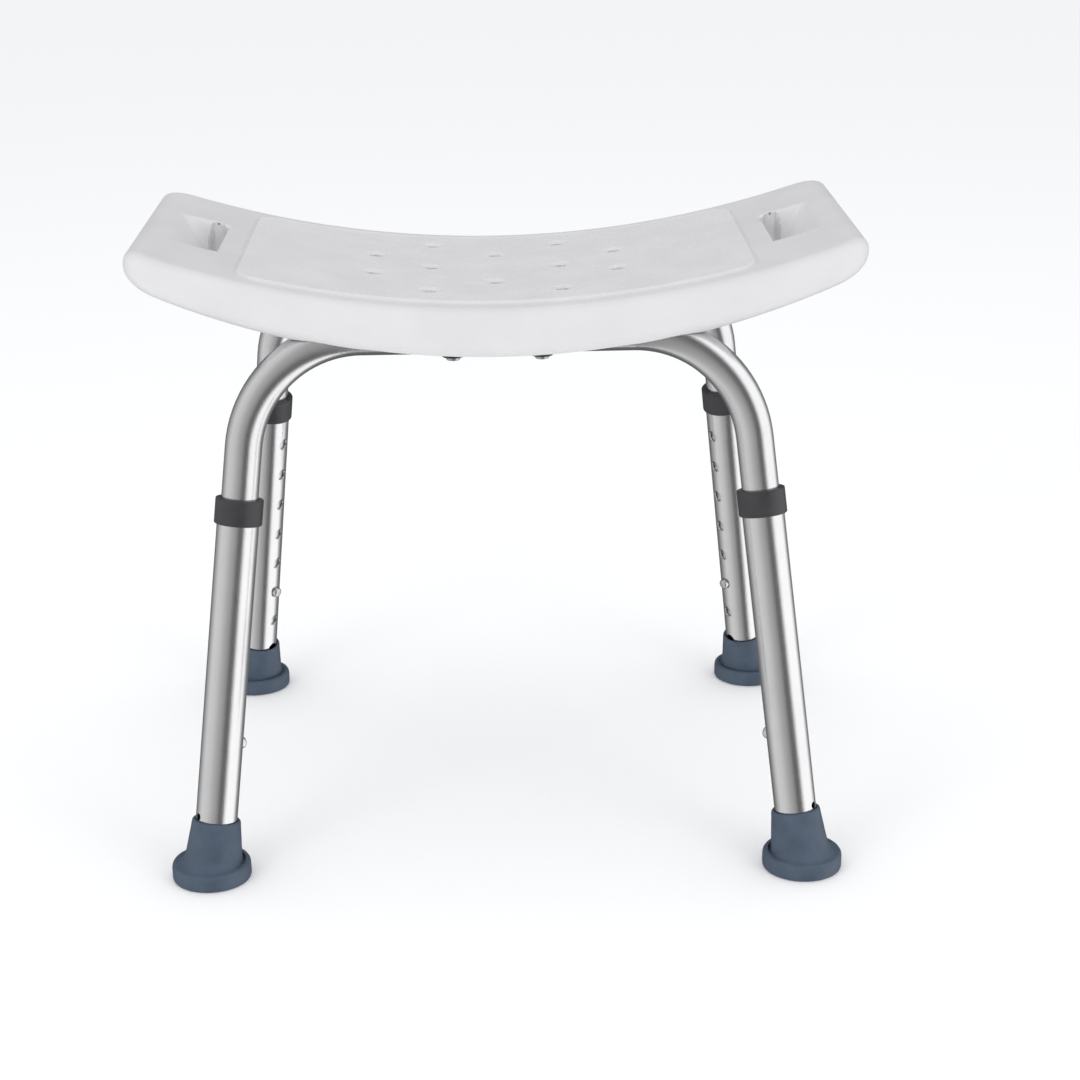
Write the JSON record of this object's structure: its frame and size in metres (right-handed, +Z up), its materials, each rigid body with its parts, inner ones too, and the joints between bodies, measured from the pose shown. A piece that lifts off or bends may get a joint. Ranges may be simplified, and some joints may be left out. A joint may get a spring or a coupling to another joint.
{
  "type": "shower stool",
  "caption": "Backless shower stool: curved moulded seat with drain holes and end hand grips on bent tube frames, with telescopic spring-button legs and wide rubber feet.",
  "frame": {"origin": "on the floor under the middle of the seat", "axes": "+X along the seat's length, to the user's left when seated facing the front; -Y is the front; +Z up"},
  "size_m": [0.5, 0.4028, 0.4295],
  "materials": {
    "seat_plastic": "fine pebble grain",
    "frame_aluminium": "satin",
    "leg_aluminium": "satin anodised",
    "dark_plastic": "smooth moulded",
    "rubber": "moulded",
    "button_steel": "polished",
    "spring_steel": "plain",
    "steel": "zinc plated",
    "brass": "knurled insert, plain"
  },
  "bodies": {
    "stool": {"seat": "seat_plastic", "seat_inserts": "brass", "seat_screws": "steel", "saddle_washers": "dark_plastic", "front_frame_tube": "frame_aluminium", "rear_frame_tube": "frame_aluminium", "front_left_button_spring": "spring_steel", "front_right_button_spring": "spring_steel", "rear_left_button_spring": "spring_steel", "rear_right_button_spring": "spring_steel"},
    "front_left_leg": {"front_left_leg_tube": "leg_aluminium", "front_left_collar": "dark_plastic", "front_left_foot": "rubber", "front_left_foot_washer": "steel"},
    "front_left_button": {"front_left_button": "button_steel"},
    "front_right_leg": {"front_right_leg_tube": "leg_aluminium", "front_right_collar": "dark_plastic", "front_right_foot": "rubber", "front_right_foot_washer": "steel"},
    "front_right_button": {"front_right_button": "button_steel"},
    "rear_left_leg": {"rear_left_leg_tube": "leg_aluminium", "rear_left_collar": "dark_plastic", "rear_left_foot": "rubber", "rear_left_foot_washer": "steel"},
    "rear_left_button": {"rear_left_button": "button_steel"},
    "rear_right_leg": {"rear_right_leg_tube": "leg_aluminium", "rear_right_collar": "dark_plastic", "rear_right_foot": "rubber", "rear_right_foot_washer": "steel"},
    "rear_right_button": {"rear_right_button": "button_steel"}
  },
  "joints": [
    {"name": "front_left_leg_slide", "type": "slide", "parent": "stool", "child": "front_left_leg", "axis": [-0.108, -0.1641, -0.9805], "range_m": [-0.027, 0.135]},
    {"name": "front_left_button_press", "type": "slide", "parent": "stool", "child": "front_left_button", "axis": [-0.8144, -0.5511, 0.1819], "range_m": [0, 0.0055], "stiffness_N_per_m": 2500, "springref_m": -0.002, "deforming": ["front_left_button_spring"]},
    {"name": "front_right_leg_slide", "type": "slide", "parent": "stool", "child": "front_right_leg", "axis": [0.108, -0.1641, -0.9805], "range_m": [-0.027, 0.135]},
    {"name": "front_right_button_press", "type": "slide", "parent": "stool", "child": "front_right_button", "axis": [0.8144, -0.5511, 0.1819], "range_m": [0, 0.0055], "stiffness_N_per_m": 2500, "springref_m": -0.002, "deforming": ["front_right_button_spring"]},
    {"name": "rear_left_leg_slide", "type": "slide", "parent": "stool", "child": "rear_left_leg", "axis": [-0.108, 0.1641, -0.9805], "range_m": [-0.027, 0.135]},
    {"name": "rear_left_button_press", "type": "slide", "parent": "stool", "child": "rear_left_button", "axis": [-0.8144, 0.5511, 0.1819], "range_m": [0, 0.0055], "stiffness_N_per_m": 2500, "springref_m": -0.002, "deforming": ["rear_left_button_spring"]},
    {"name": "rear_right_leg_slide", "type": "slide", "parent": "stool", "child": "rear_right_leg", "axis": [0.108, 0.1641, -0.9805], "range_m": [-0.027, 0.135]},
    {"name": "rear_right_button_press", "type": "slide", "parent": "stool", "child": "rear_right_button", "axis": [0.8144, 0.5511, 0.1819], "range_m": [0, 0.0055], "stiffness_N_per_m": 2500, "springref_m": -0.002, "deforming": ["rear_right_button_spring"]}
  ]
}
